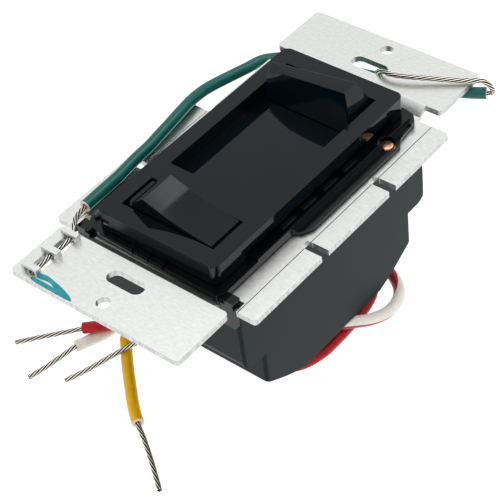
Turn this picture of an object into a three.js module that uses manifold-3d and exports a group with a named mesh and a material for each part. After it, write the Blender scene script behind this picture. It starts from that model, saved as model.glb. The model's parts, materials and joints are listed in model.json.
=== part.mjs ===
// A wall-box slide dimmer: aluminium yoke and heat sink, black face with a slide and a rocker,
// a deep back enclosure, the switch and dimmer works inside it, four leads and a ground wire.
// Millimetres. +X is the right of the face, +Y its top, +Z out of the face.
// The origin lies midway between the two screw slots, on the front of the yoke's ears.
import * as THREE from 'three';
import { mergeVertices } from 'three/addons/utils/BufferGeometryUtils.js';
import { ConvexGeometry } from 'three/addons/geometries/ConvexGeometry.js';
import Module from 'manifold-3d';

const wasm = await Module();
wasm.setup();

// ---- driving dimensions ----
const GAP = 0.3;                 // running or assembly gap between neighbouring pieces
const SHEET = 1.5;               // aluminium sheet of the yoke
const EAR = { halfX: 22.9, inner: 36.6, outer: 52.15, corner: 0.9 };
const SLOT = { y: 41.66, length: 9.5, width: 3.6 };      // box-screw slots, 83.3 mm apart
const PLATE_HOLE = { y: 48.4, r: 1.55 };                 // wallplate holes, 96.8 mm apart
const SINK = { halfX: 27.4, bottom: -34.1, top: 33.3, front: -1.9, score: 22.9 };
const SINK_BACK = SINK.front - SHEET;
const BODY = { halfX: 21, halfY: 32.5, ledge: -23, hullY: 26.4, curve: -31.5, back: -37.8,
  corner: 0.9, ledgeRound: 3 };
const FLAT = 14;                 // half length of the flat of the enclosure's back
const WALL = 1.6;                // wall of the enclosure
const BODY_TOP = SINK_BACK - GAP;
const FACE = { halfX: 16.4, halfY: 32.35, front: 4.84, skin: 1.0, corner: 1.8, wall: 1.2 };
const RECESS = { left: -12.4, right: 12.2, bottom: -12.8, top: 27.6, floor: 0.95 };
const WINDOW = { left: -12.6, right: 12.4, bottom: -28.0, top: -18.4 };   // rocker opening
const STEM = { left: 10.1, right: 11.5, bottom: 21, top: 26 };            // slide stem
const TRAVEL = 30;               // travel of the slide, towards the rocker
const PIVOT = { z: -5, tilt: 12.4 };                     // rocker axle height, rest tilt in degrees
const LEAD_R = 1.4;
const STRAND_R = 0.6;
const TABLE = -44.3;              // the surface that the leads lie on
const LOW = TABLE + LEAD_R;      // centre height of a lead on that surface
const BARE = TABLE + STRAND_R;   // centre height of bare strands on it
const HIGH = LOW + 2 * LEAD_R + GAP;                     // a lead that passes over another

// ---- helpers ----
function solid(geometry) {
  const plain = geometry.clone();
  for (const name of Object.keys(plain.attributes)) {
    if (name !== 'position') plain.deleteAttribute(name);
  }
  const welded = mergeVertices(plain, 1e-4);
  return new wasm.Manifold(new wasm.Mesh({
    numProp: 3,
    vertProperties: new Float32Array(welded.attributes.position.array),
    triVerts: new Uint32Array(welded.index.array),
  }));
}

function box(x0, x1, y0, y1, z0, z1) {
  const geometry = new THREE.BoxGeometry(x1 - x0, y1 - y0, z1 - z0);
  geometry.translate((x0 + x1) / 2, (y0 + y1) / 2, (z0 + z1) / 2);
  return solid(geometry);
}

function roundedRect(x0, x1, y0, y1, r) {
  const shape = new THREE.Shape();
  shape.moveTo(x0 + r, y0);
  shape.lineTo(x1 - r, y0);
  shape.absarc(x1 - r, y0 + r, r, -Math.PI / 2, 0);
  shape.lineTo(x1, y1 - r);
  shape.absarc(x1 - r, y1 - r, r, 0, Math.PI / 2);
  shape.lineTo(x0 + r, y1);
  shape.absarc(x0 + r, y1 - r, r, Math.PI / 2, Math.PI);
  shape.lineTo(x0, y0 + r);
  shape.absarc(x0 + r, y0 + r, r, Math.PI, Math.PI * 1.5);
  return shape;
}

function slab(shape, z0, z1, arcs = 4) {
  const options = { depth: z1 - z0, bevelEnabled: false, curveSegments: arcs };
  const geometry = new THREE.ExtrudeGeometry(shape, options);
  geometry.translate(0, 0, z0);
  return solid(geometry);
}

function outline(points) {
  return new THREE.Shape(points.map(([u, v]) => new THREE.Vector2(u, v)));
}

// A profile of [y, z] points carried along X.
function alongX(points, x0, x1) {
  const options = { depth: x1 - x0, bevelEnabled: false };
  const geometry = new THREE.ExtrudeGeometry(outline(points), options);
  geometry.applyMatrix4(new THREE.Matrix4().makeBasis(
    new THREE.Vector3(0, 1, 0), new THREE.Vector3(0, 0, 1), new THREE.Vector3(1, 0, 0)));
  geometry.translate(x0, 0, 0);
  return solid(geometry);
}

// A profile of [x, z] points carried along Y.
function alongY(points, y0, y1) {
  const turned = points.map(([x, z]) => [z, x]);
  const options = { depth: y1 - y0, bevelEnabled: false };
  const geometry = new THREE.ExtrudeGeometry(outline(turned), options);
  geometry.applyMatrix4(new THREE.Matrix4().makeBasis(
    new THREE.Vector3(0, 0, 1), new THREE.Vector3(1, 0, 0), new THREE.Vector3(0, 1, 0)));
  geometry.translate(0, y0, 0);
  return solid(geometry);
}

function post(x, y, r, z0, z1, sides = 16) {
  const geometry = new THREE.CylinderGeometry(r, r, z1 - z0, sides);
  geometry.rotateX(Math.PI / 2);
  geometry.translate(x, y, (z0 + z1) / 2);
  return solid(geometry);
}

function rod(x, z, r, y0, y1, sides = 16) {
  const geometry = new THREE.CylinderGeometry(r, r, y1 - y0, sides);
  geometry.translate(x, (y0 + y1) / 2, z);
  return solid(geometry);
}

function barX(y, z, r, x0, x1, sides = 12) {
  const geometry = new THREE.CylinderGeometry(r, r, x1 - x0, sides);
  geometry.rotateZ(Math.PI / 2);
  geometry.translate((x0 + x1) / 2, y, z);
  return solid(geometry);
}

// A round wire through hand-placed points, with flat ends.
function wire(points, radius, sides = 8, stride = 4) {
  const curve = new THREE.CatmullRomCurve3(points.map((p) => new THREE.Vector3(...p)), false,
    'centripetal');
  const ring = [];
  for (let i = 0; i < sides; i += 1) {
    const angle = (2 * Math.PI * i) / sides;
    ring.push(new THREE.Vector2(radius * Math.cos(angle), radius * Math.sin(angle)));
  }
  const steps = Math.min(78, Math.max(4, Math.ceil(curve.getLength() / (stride * radius))));
  return new THREE.ExtrudeGeometry(new THREE.Shape(ring),
    { steps, bevelEnabled: false, extrudePath: curve });
}

// A round solid about the Z axis through (x, y), from [radius, z] points that begin and end on it.
function turned(points, x, y, sides = 20) {
  const profile = points.map(([r, z]) => new THREE.Vector2(r, z));
  const geometry = new THREE.LatheGeometry(profile, sides);
  geometry.rotateX(Math.PI / 2);
  geometry.translate(x, y, 0);
  return solid(geometry);
}

function union(parts) {
  return parts.reduce((sum, part) => sum.add(part));
}

// ---- finishes ----
function finish(color, roughness, metalness) {
  return () => new THREE.MeshStandardMaterial({ color, roughness, metalness });
}
const aluminium = finish(0xdedfda, 0.35, 0.9);
const gloss = finish(0x17191b, 0.12, 0);
const satin = finish(0x1b1d1f, 0.35, 0);
const casing = finish(0x3e4446, 0.45, 0);
const copper = finish(0xd98f62, 0.3, 1);
const brass = finish(0xc9a44c, 0.3, 1);
const tinned = finish(0xb9b7b0, 0.3, 1);
const steel = finish(0x9a9c9e, 0.3, 1);
const board = finish(0x2f6b3c, 0.5, 0);
const red = finish(0xbe2328, 0.35, 0);
const white = finish(0xe1d7cd, 0.35, 0);
const black = finish(0x1a1a1a, 0.35, 0);
const yellow = finish(0xc89b19, 0.35, 0);
const green = finish(0x11645a, 0.3, 0);
const ferrite = finish(0x3a3c3f, 0.7, 0);
const film = finish(0x8c2f22, 0.35, 0);
const resin = finish(0x202020, 0.5, 0);
const ceramic = finish(0xb98a55, 0.5, 0);
const pad = finish(0x8fa0a8, 0.6, 0);

const part = new THREE.Group();

function add(name, shape, material) {
  let geometry = shape;
  if (!shape.isBufferGeometry) {
    const mesh = shape.getMesh();
    geometry = new THREE.BufferGeometry();
    geometry.setAttribute('position', new THREE.BufferAttribute(mesh.vertProperties, 3));
    geometry.setIndex(new THREE.BufferAttribute(mesh.triVerts, 1));
  }
  const piece = new THREE.Mesh(geometry, material());
  piece.name = name;
  part.add(piece);
}

// ---- yoke: ears, joggled necks and the scored heat sink, one piece of sheet ----
const LACE = { x: -18.5, halfX: 1.5, windows: [[-43.3, -38.9], [-49.3, -44.9]] };
const LATCH_SLITS = { x: [-5.3, -0.85, 3.25], half: 0.22 };
const RIVETS = [[18.9, 22.1], [-18.9, -22.1]];
const TRIAC_RIVET = { x: -11.5, y: 21, r: 1.5 };

function ear(side) {
  const near = side * EAR.inner;
  const far = side * EAR.outer;
  const shape = roundedRect(-EAR.halfX, EAR.halfX, Math.min(near, far), Math.max(near, far),
    EAR.corner);
  const reach = SLOT.length / 2;
  const half = SLOT.width / 2;
  const slot = roundedRect(-reach, reach, side * SLOT.y - half, side * SLOT.y + half, half - 0.01);
  return slab(shape, -SHEET, 0)
    .subtract(slab(slot, -SHEET - 1, 1, 6))
    .subtract(post(0, side * PLATE_HOLE.y, PLATE_HOLE.r, -SHEET - 1, 1));
}

function neck(side) {
  const profile = [[EAR.inner + 1, 0], [EAR.inner + 1, -SHEET], [EAR.inner - 0.3, -SHEET],
    [33, SINK_BACK], [32, SINK_BACK], [32, SINK.front], [34.3, SINK.front], [EAR.inner, 0]];
  return alongX(profile.map(([y, z]) => [side * y, z]), -19, 19);
}

function laceBridge(y0, y1) {
  const outer = box(LACE.x - 2.2, LACE.x + 2.2, y0, y1, -0.4, 1.7);
  return outer.subtract(box(LACE.x - LACE.halfX, LACE.x + LACE.halfX, y0 - 1, y1 + 1, -1, 1.05));
}

function yoke() {
  let sheet = slab(roundedRect(-SINK.halfX, SINK.halfX, SINK.bottom, SINK.top, 0.8),
    SINK_BACK, SINK.front, 2);
  const fork = [[-12.5, -10.2], [10.9, 13.3]];
  for (const side of [-1, 1]) {
    for (const [y0, y1] of fork) {
      const x = side * 26;
      sheet = sheet.subtract(box(Math.min(x - 2.8, x + 2.8), Math.max(x - 2.8, x + 2.8), y0, y1,
        -9, 0));
      sheet = sheet.subtract(box(side * 22.6 - 0.7, side * 22.6 + 0.7, y0 + 0.1, y1 - 0.1, -9, 0));
    }
    const score = [[side * SINK.score - 0.3, SINK.front + 1], [side * SINK.score, SINK.front - 0.5],
      [side * SINK.score + 0.3, SINK.front + 1]];
    sheet = sheet.subtract(alongY(score, SINK.bottom - 1, SINK.top + 1));
  }
  sheet = sheet.subtract(box(-30, -SINK.score, fork[1][0], 40, -9, 0));
  sheet = union([sheet, neck(1), neck(-1), ear(1), ear(-1)]);
  sheet = sheet.subtract(box(-15.2, 15.2, -29.4, -15.4, -9, 0));           // rocker well
  sheet = sheet.subtract(box(7.9, 12.0, -10.2, 26.6, -9, 0));              // slide slot
  sheet = sheet.subtract(box(-21.8, -16, -35.2, -31.8, -9, 0.5));          // hook notches
  sheet = sheet.subtract(box(18, 22.5, -34.9, -31.4, -9, 0.5));
  for (const [x, y] of RIVETS) sheet = sheet.subtract(post(x, y, 1.1 + GAP, -9, 0));
  sheet = sheet.subtract(post(TRIAC_RIVET.x, TRIAC_RIVET.y, TRIAC_RIVET.r + GAP, -9, 0));
  for (const [y0, y1] of LACE.windows) {
    sheet = sheet.subtract(box(LACE.x - LACE.halfX, LACE.x + LACE.halfX, y0, y1, -9, 1));
  }
  const under = [[-44.9, -43.3], [-50.7, -49.3], [-38.9, -37.6]];
  for (const [y0, y1] of under) {
    sheet = sheet.subtract(box(LACE.x - LACE.halfX, LACE.x + LACE.halfX, y0, y1, -0.7, 1));
    sheet = sheet.add(laceBridge(y0, y1));
  }
  sheet = sheet.subtract(box(LACE.x - LACE.halfX, LACE.x + LACE.halfX, -37.7, -36, -0.7, 1));
  return sheet;
}

// ---- back enclosure: a deep box stepping in to a bowed back ----
function hullProfile(inset) {
  const y = BODY.hullY - inset;
  const back = BODY.back + inset;
  const points = [[-y, BODY.ledge + 1 + inset], [-y, BODY.curve]];
  const steps = 4;
  const side = [];
  for (let i = 1; i <= steps; i += 1) {
    const t = i / steps;
    const bow = Math.sin((t * Math.PI) / 2);
    side.push([y + (FLAT - y) * t, BODY.curve + (back - BODY.curve) * (0.35 * bow + 0.65 * t)]);
  }
  for (const [u, v] of side) points.push([-u, v]);
  for (const [u, v] of side.reverse()) points.push([u, v]);
  points.push([y, BODY.curve], [y, BODY.ledge + 1 + inset]);
  return points;
}

// The upper box seen from its side: its two lower ends are rounded in to the ledge.
function boxProfile(inset, top) {
  const y = BODY.halfY - inset;
  const floor = BODY.ledge + inset;
  const r = BODY.ledgeRound - inset;
  const steps = 4;
  const end = [];
  for (let i = 0; i <= steps; i += 1) {
    const angle = (i * Math.PI) / (2 * steps);
    end.push([y - r + r * Math.cos(angle), floor + r - r * Math.sin(angle)]);
  }
  const near = end.map(([u, v]) => [-u, v]);
  return [[-y, top], ...near, ...end.reverse(), [y, top]];
}

function casingSolid(inset, top) {
  const x = BODY.halfX - inset;
  const y = BODY.halfY - inset;
  const hullY = BODY.hullY - inset;
  const r = Math.max(0.3, BODY.corner - inset);
  const plan = slab(roundedRect(-x, x, -y, y, r), BODY.ledge + inset - 1, top);
  const upper = alongX(boxProfile(inset, top), -x, x).intersect(plan);
  const trim = slab(roundedRect(-x, x, -hullY, hullY, r), BODY.back - 1, BODY.ledge + 2);
  return upper.add(alongX(hullProfile(inset), -x, x).intersect(trim));
}

const EXITS = { red: [5, 6.1], striped: [-1, 6.1], black: [-3.7, -13], yellow: [-9.8, -12.2] };

function backEnclosure() {
  let shell = casingSolid(0, BODY_TOP).subtract(casingSolid(WALL, BODY_TOP + 2));
  for (const [x, y] of RIVETS) {
    const seat = post(x * 0.94, y, 2.6, -15, BODY_TOP);
    shell = shell.add(seat.intersect(box(-20, 20, -31, 31, -16, BODY_TOP)));
    shell = shell.subtract(post(x, y, 1.1 + GAP, -12, 0));
  }
  for (const [x, y] of Object.values(EXITS)) {
    shell = shell.subtract(post(x, y, LEAD_R + GAP + 0.45, BODY.back - 1, BODY.back + 4));
  }
  for (const side of [-1, 1]) {
    shell = shell.subtract(box(side * 20 - 2, side * 20 + 2, -33.2, -32, -9, 0));
  }
  return shell;
}

// ---- chassis: the black frame between the heat sink and the face ----
const CHASSIS = { back: SINK.front + GAP, front: -0.3, well: -8 };

function chassis() {
  const rightSide = [[17.7, -34.3], [18.6, -32.4], [18.6, -10.8], [20.2, -9.8], [21.4, -7.2],
    [21.4, 23.4], [20.2, 25.4], [19.6, 31.4], [18.2, 33], [15.5, 33.6]];
  const corners = [...rightSide, ...rightSide.map(([x, y]) => [-x, -y])];
  let frame = slab(outline(corners), CHASSIS.back, CHASSIS.front, 1);
  frame = frame.subtract(box(-13.8, 13.8, -28, 28, -9, 3));
  for (const side of [-1, 1]) {
    const [inner, outer] = [18, 18.6].map((x) => side * x);
    const [y0, y1] = [-22 * side, 31 * side];
    frame = frame.subtract(box(Math.min(side * 19.1, side * 25), Math.max(side * 19.1, side * 25),
      -30, 30, CHASSIS.front - 0.6, 3));
    frame = frame.add(box(Math.min(inner, outer), Math.max(inner, outer), Math.min(y0, y1),
      Math.max(y0, y1), CHASSIS.front - 0.5, 0.3));
  }
  for (const [x, y] of RIVETS) {
    frame = frame.subtract(post(x, y, 2.15, -9, 3));
  }
  const wellOuter = box(-14.8, 14.8, -29, -15.8, CHASSIS.well, CHASSIS.front);
  const well = wellOuter.subtract(box(-13.8, 13.8, -28, -17.4, CHASSIS.well - 1, 3));
  frame = frame.add(well);
  frame = frame.subtract(rod(0, PIVOT.z, 1.0 + GAP, -30, -14));
  for (const x of LATCH_SLITS.x) {
    frame = frame.subtract(box(x - LATCH_SLITS.half, x + LATCH_SLITS.half, -40, -FACE.halfY + 0.5,
      CHASSIS.back - 1, 3));
  }
  for (const [x0, x1, y0, y1] of [[-20.6, -17.2, -34.6, -32.9], [18.6, 21.8, -34.3, -32.9]]) {
    frame = frame.add(box(x0, x1, y0, y1 + 1, CHASSIS.back, CHASSIS.front));
    frame = frame.add(box(x0, x1, y0, y1, -7.5, CHASSIS.front));
  }
  for (const y of [-10.5, -3.5, 3.5, 10.5]) {
    for (const side of [-1, 1]) {
      frame = frame.add(box(side * 17.3 - 0.5, side * 17.3 + 0.5, y - 2.2, y + 2.2,
        CHASSIS.front - 0.5, 1.1));
    }
  }
  for (const x of [-5.5, 0, 5.5]) {
    for (const side of [-1, 1]) {
      frame = frame.add(box(x - 1.2, x + 1.2, side * 30.4 - 0.5, side * 30.4 + 0.5,
        CHASSIS.front - 0.5, 2.6));
    }
  }
  return frame;
}

// ---- bezel: the glossy face with its slide recess and rocker opening ----
function bezel() {
  const face = roundedRect(-FACE.halfX, FACE.halfX, -FACE.halfY, FACE.halfY, FACE.corner);
  const w = FACE.wall;
  const inner = roundedRect(-FACE.halfX + w, FACE.halfX - w, -FACE.halfY + w, FACE.halfY - w,
    FACE.corner - w);
  const skirtEnd = CHASSIS.front + GAP;
  let shell = slab(face, skirtEnd, FACE.front);
  shell = shell.subtract(slab(inner, skirtEnd - 1, FACE.front - FACE.skin));
  for (const side of [-1, 1]) {
    const wallX = side * FACE.halfX;
    shell = shell.subtract(box(wallX - 2, wallX + 2, -23.4, 27.6, skirtEnd - 1, 1.6));
  }
  const walls = box(RECESS.left - w, RECESS.right + w, RECESS.bottom - w, RECESS.top + w,
    RECESS.floor - 0.9, FACE.front - 0.5);
  shell = shell.add(walls);
  shell = shell.subtract(box(RECESS.left, RECESS.right, RECESS.bottom, RECESS.top, RECESS.floor,
    FACE.front + 1));
  for (const x of LATCH_SLITS.x) {
    shell = shell.subtract(box(x - LATCH_SLITS.half, x + LATCH_SLITS.half, -40,
      -FACE.halfY + w + 0.1, skirtEnd - 1, 1.3));
  }
  shell = shell.subtract(box(STEM.left - 0.4, STEM.right + 0.35, STEM.bottom - TRAVEL - 0.5,
    STEM.top + 0.5, RECESS.floor - 3, FACE.front + 1));
  return shell.subtract(box(WINDOW.left, WINDOW.right, WINDOW.bottom, WINDOW.top, 0,
    FACE.front + 1));
}

// ---- slide knob: a skewed finger wedge on a thin stem ----
function slideKnob() {
  const foot = RECESS.floor + GAP;
  const corners = [
    [-12.1, 18.6, foot], [11.2, 18.3, foot], [11.4, 27.3, foot], [-12.1, 27.3, foot],
    [-12.1, 26.8, 4.8], [11.2, 27.0, 4.8], [11.1, 19.4, 4.9], [-12.1, 19.6, 5.0],
    [-12.1, 20.4, 6.8], [-12.1, 22.4, 8.8], [-7.3, 20.1, 8.9], [-1.1, 20.1, 9.6],
    [9.3, 20.7, 10.1], [9.3, 24.8, 10.3], [10.6, 25.2, 6.7],
  ];
  const wedge = solid(new ConvexGeometry(corners.map((c) => new THREE.Vector3(...c))));
  return wedge.add(box(STEM.left, STEM.right, STEM.bottom, STEM.top, -1.6, 2));
}

function slideCarrier() {
  const plate = box(6.4, 13.1, 20.2, 26.8, -1.55, -0.55);
  const drop = box(8.4, 11.5, 21, 26, -6, -1.5);
  const socket = box(STEM.left - GAP, STEM.right + GAP, STEM.bottom - GAP, STEM.top + GAP, -1.9, 0);
  return plate.add(drop).subtract(socket);
}

function wiper() {
  const leaf = box(8.6, 11.3, 21.4, 25.6, -6.8, -6.3);
  const finger = box(9.4, 10.4, 16.8, 22, -6.8, -6.3);
  return leaf.add(finger);
}

// ---- slide potentiometer ----
const POT = { left: 4.6, right: 13.2, bottom: -14.6, top: 28.4, back: -11.2 };

function potHousing() {
  const shell = box(POT.left, POT.right, POT.bottom, POT.top, POT.back, SINK_BACK - GAP);
  return shell.subtract(box(6.4, 12.6, -13.6, 27.2, -8.6, 0));
}

function potTrack() {
  return box(6.9, 12.1, -12.6, 26.6, -8.3, -7.5);
}

// ---- rocker, its axle, plunger and spring ----
const REST = THREE.MathUtils.degToRad(PIVOT.tilt);
const HUB = { y: -23.2, bottom: -5.4, roof: -1.9, bore: 1.7 };

function tilted(shape) {
  const turn = new THREE.Matrix4().makeRotationY(REST);
  const place = new THREE.Matrix4().makeTranslation(0, 0, PIVOT.z).multiply(turn);
  return shape.transform(place.elements);
}

function rocker() {
  const dish = [];
  for (let i = 0; i <= 8; i += 1) {
    const x = -9.05 + (18.1 * i) / 8;
    dish.push([x, 11.5 + 0.7 * (x / 9.05) ** 2]);
  }
  const under = [[12.0, 8.6], [11.5, 8.0], [2.9, 6.2], [2.6, HUB.bottom], [-2.6, HUB.bottom], [-2.9, 6.2],
    [-11.5, 8.0], [-12.0, 8.6]];
  let paddle = alongY([...dish, ...under], WINDOW.bottom + GAP, WINDOW.top - GAP);
  paddle = paddle.subtract(rod(0, 0, 1.0 + GAP, -30, -14));
  paddle = paddle.subtract(post(0, HUB.y, HUB.bore, HUB.bottom - 1, HUB.roof));
  return tilted(paddle);
}

function rockerAxle() {
  return rod(0, PIVOT.z, 1.0, -29, -15.8);
}

function plunger() {
  const profile = [[0, -8.9], [0.6, -8.8], [0.9, -8.4], [1.3, -7.4], [1.3, -4.3], [0, -4.3]];
  return tilted(turned(profile, 0, HUB.y, 12));
}

function plungerSpring() {
  const turns = 3;
  const points = [];
  for (let i = 0; i <= turns * 8; i += 1) {
    const angle = (i / 8) * 2 * Math.PI;
    const z = -3.85 + (1.6 * i) / (turns * 8);
    points.push([1.05 * Math.cos(angle), HUB.y + 1.05 * Math.sin(angle), z]);
  }
  return tilted(solid(wire(points, 0.16, 6, 2)));
}

// ---- switch contacts below the rocker ----
const SEESAW = { y0: -26, y1: -20.4, z: -14, tilt: 9.3 };

function seesaw() {
  const strip = [[-8.5, 1.5], [-3, 0.3], [0, -0.2], [3, 0.3], [8.5, 1.5], [8.5, 0.8],
    [3, -0.4], [0, -0.9], [-3, -0.4], [-8.5, 0.8]];
  const leaf = alongY(strip.reverse(), SEESAW.y0, SEESAW.y1);
  const turn = new THREE.Matrix4().makeRotationY(-THREE.MathUtils.degToRad(SEESAW.tilt));
  const place = new THREE.Matrix4().makeTranslation(0, 0, SEESAW.z).multiply(turn);
  return leaf.transform(place.elements);
}

function switchBase() {
  const shell = box(-13.6, 13.6, -29.4, -15.8, -20, CHASSIS.well - GAP);
  return shell.subtract(box(-12.2, 12.2, -28, -17.2, -18.6, 0));
}

function pivotTerminal() {
  const blade = box(-0.4, 0.4, -25.4, -21, -17.6, SEESAW.z - 1.25);
  const foot = box(-1.8, 1.8, -25.4, -21, -18.3, -17.5);
  return blade.add(foot);
}

function fixedContact(side) {
  const foot = box(side * 7.8 - 1.8, side * 7.8 + 1.8, -25.4, -21, -18.3, -17.5);
  return foot.add(post(side * 7.8, HUB.y, 1.2, -17.6, -15, 12));
}

// ---- dimmer board and its components ----
const BOARD = { front: -11.5, back: -13.1 };

function circuitBoard() {
  let card = box(-18.6, 18.6, -14.9, 29.9, BOARD.back, BOARD.front);
  card = card.subtract(box(15, 20, 18.8, 25.4, -20, 0));
  return card;
}

function triac() {
  const tab = box(-16.5, -6.5, 17.4, 23.8, -5.6, -4.3);
  const body = box(-16.5, -6.5, 8.4, 17.6, -8.8, -4.3);
  return tab.add(body).subtract(post(TRIAC_RIVET.x, TRIAC_RIVET.y, TRIAC_RIVET.r + GAP, -9, 0));
}

function thermalPad() {
  const sheet = box(-17.2, -5.8, 7.8, 24.6, -4.0, SINK_BACK - 0.3);
  return sheet.subtract(post(TRIAC_RIVET.x, TRIAC_RIVET.y, TRIAC_RIVET.r + GAP, -9, 0));
}

function rivet(x, y, r, head, tail) {
  const front = SINK.front + GAP;
  return turned([[0, tail], [r, tail], [r, front], [head, front], [head * 0.8, front + 0.7],
    [0, front + 0.85]], x, y, 16);
}

const CHOKE = { x: 10, y: 15.5, mid: -25.6, mean: 5.6, half: 2.1 };

function ring(radius, sides) {
  const geometry = new THREE.TorusGeometry(CHOKE.mean, radius, sides, 28);
  geometry.translate(CHOKE.x, CHOKE.y, CHOKE.mid);
  return solid(geometry);
}

function chokeWinding() {
  const bundle = ring(CHOKE.half + 0.9, 10).subtract(ring(CHOKE.half + GAP, 10));
  return bundle.subtract(box(CHOKE.x - 1.5, CHOKE.x + 1.5, -2, CHOKE.y, -32, -18));
}

function filmCapacitor(x, y) {
  return slab(roundedRect(x - 3.4, x + 3.4, y - 8, y + 8, 1.2), -25.5, BOARD.back - GAP, 3);
}

function resistor(x, y) {
  return barX(y, BOARD.back - 1.6, 1.2, x - 3.2, x + 3.2);
}

// ---- leads and ground wire ----
const ROUTES = {
  red: [
    [5, 6, -14], [5, 6, -20], [5, 6, -26], [5, 6, -32], [5, 6, -36.5], [5, 6.9, -39.7],
    [5.1, 9.2, -42], [5.2, 12.6, LOW + 0.1], [7.2, 17.2, LOW], [11.6, 19.2, LOW],
    [16, 17.3, LOW], [17.9, 12.6, LOW], [18.5, 6.4, LOW], [18.7, 0, LOW], [18.4, -5.6, LOW], [16.4, -11, LOW],
    [12, -14.2, LOW], [6.8, -13.2, LOW], [2, -9.4, LOW], [-3.6, -5.8, LOW], [-10.4, -4.8, LOW],
    [-16.2, -7, LOW + 0.2], [-19.9, -11, LOW + 1.7], [-21.3, -16, HIGH + 0.1],
    [-21.6, -21.5, HIGH + 0.3], [-22.9, -25.9, HIGH + 0.3], [-25.8, -28.3, HIGH - 0.1],
    [-28.2, -30.3, HIGH - 0.2], [-30.6, -31.7, HIGH - 0.8],
  ],
  redBare: [[-31, -32.05, HIGH - 1], [-35, -35.4, LOW + 1.2], [-39.2, -38.8, LOW + 0.2],
    [-43.4, -42.3, BARE]],
  striped: [
    [-1, 6, -14], [-1, 6, -20], [-1, 6, -26], [-1, 6, -32], [-1, 6, -36.5], [-1, 6.9, -39.7],
    [-0.9, 9.2, -42], [-0.6, 12.6, LOW + 0.1], [1.6, 18.4, LOW], [6.2, 22.9, LOW], [12, 24.6, LOW],
    [18, 23.2, LOW], [22.3, 19.4, LOW], [23.7, 14, LOW + 0.3], [22.8, 8.6, HIGH - 1.6],
    [20, 3.4, HIGH], [15.2, -0.2, HIGH - 0.6], [9, -1.6, LOW + 0.9], [2, -1.6, LOW + 0.1],
    [-6, -1.2, LOW], [-14, -1.8, LOW], [-21, -5.2, LOW], [-25.4, -11.6, LOW], [-26.8, -19.6, LOW],
    [-27, -28, LOW], [-28.4, -32, LOW], [-29.9, -35.6, LOW],
  ],
  stripedBare: [[-30.1, -36.2, LOW], [-31, -40.2, BARE + 0.4], [-32, -44.3, BARE + 0.05],
    [-33, -48.3, BARE]],
  black: [
    [-3.5, -12.8, -14], [-3.5, -12.8, -20], [-3.5, -12.8, -26], [-3.5, -12.8, -32],
    [-3.5, -12.8, -36.5], [-4, -13.4, -38.7], [-5.5, -15.1, -40.9], [-8.1, -18, -41.6],
    [-11.2, -21.2, -41.1], [-14, -24.2, -40.3], [-15.7, -26.4, -39.9],
  ],
  blackBare: [[-15.95, -26.8, -39.95], [-18.2, -30.8, -40.75], [-20.2, -34.6, -41.7],
    [-22.7, -39.4, -42.9], [-25.3, -44.3, BARE]],
  yellow: [
    [-9.5, -12.2, -14], [-9.5, -12.2, -20], [-9.5, -12.2, -26], [-9.5, -12.2, -32],
    [-9.5, -12.2, -36.5], [-10.3, -12.3, -39.7], [-12.6, -12.9, -42], [-15.9, -13.7, LOW + 0.1],
    [-19.9, -15.9, LOW], [-22.9, -19.4, LOW], [-23.5, -23.4, LOW], [-22, -26.9, LOW],
    [-19.3, -29.8, LOW], [-16.5, -32.6, LOW], [-13.7, -35.2, LOW], [-10.8, -37.8, LOW],
    [-8, -40.3, LOW], [-5.2, -42.6, LOW], [-2.4, -44.6, LOW],
  ],
  yellowBare: [[-1.95, -45, LOW], [1.8, -47.2, BARE + 0.4], [7.4, -51, BARE + 0.05],
    [13.3, -55.3, BARE]],
  groundLaced: [[LACE.x, -50.5, 0.25], [LACE.x, -47, -0.3], [LACE.x, -44.1, 0.2],
    [LACE.x, -41, -0.2], [LACE.x, -38.3, 0.25], [-19.2, -36.6, 0.95], [-20.8, -34.4, 1.0],
    [-22, -31.8, 0.5], [-22.6, -30.1, 0]],
  ground: [
    [-22.9, -29.5, -0.15], [-23.2, -23.6, -0.2], [-23.4, -18.2, -0.2], [-24.1, -12.1, -0.2],
    [-24.4, -7.1, -0.2], [-25, -3.1, -0.2], [-25.6, 1, -0.25], [-26.4, 6, -0.25], [-27.2, 11.1, -0.5],
    [-27.5, 15.8, -1.05], [-26.9, 22.4, -2.0], [-26, 28.4, -2.8], [-24.9, 33.3, -3.2], [-20.9, 37, -3.3],
    [-16.2, 38.9, -3.35], [-11, 39.8, -3.35], [-5, 40.8, -3.3], [0.4, 42.1, -3.3], [7, 44, -3.3],
    [13, 45.9, -3.3], [18.5, 47.4, -3.3], [22, 48.7, -3.25], [24, 49.7, -3.2], [25.8, 50.6, -3.1],
  ],
  groundBare: [[26.2, 50.8, -3.05], [26.8, 51.0, -2.8], [27.1, 51.0, -2.1], [26.9, 50.7, -1.1],
    [26.2, 50.3, -0.1], [25.1, 49.7, 0.68], [23.6, 48.75, 0.78], [21.5, 47.3, 0.85],
    [17.6, 45.05, 1.1], [13.6, 42.8, 1.35], [9.9, 41, 1.45], [6.9, 40.1, 1.4], [5.2, 40.2, 1.25],
    [3.9, 40.45, 0.8], [2.9, 40.8, -0.05], [2.2, 41.1, -0.8]],
};

function leads() {
  const finishes = { red, striped: white, black, yellow };
  for (const [name, material] of Object.entries(finishes)) {
    add(`lead_${name}`, wire(ROUTES[name], LEAD_R), material);
    add(`lead_${name}_strands`, wire(ROUTES[`${name}Bare`], STRAND_R), tinned);
  }
  add('ground_wire', wire(ROUTES.ground, LEAD_R), green);
  add('ground_strands_laced', wire(ROUTES.groundLaced, STRAND_R), tinned);
  add('ground_strands_free', wire(ROUTES.groundBare, STRAND_R), tinned);
}

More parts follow.
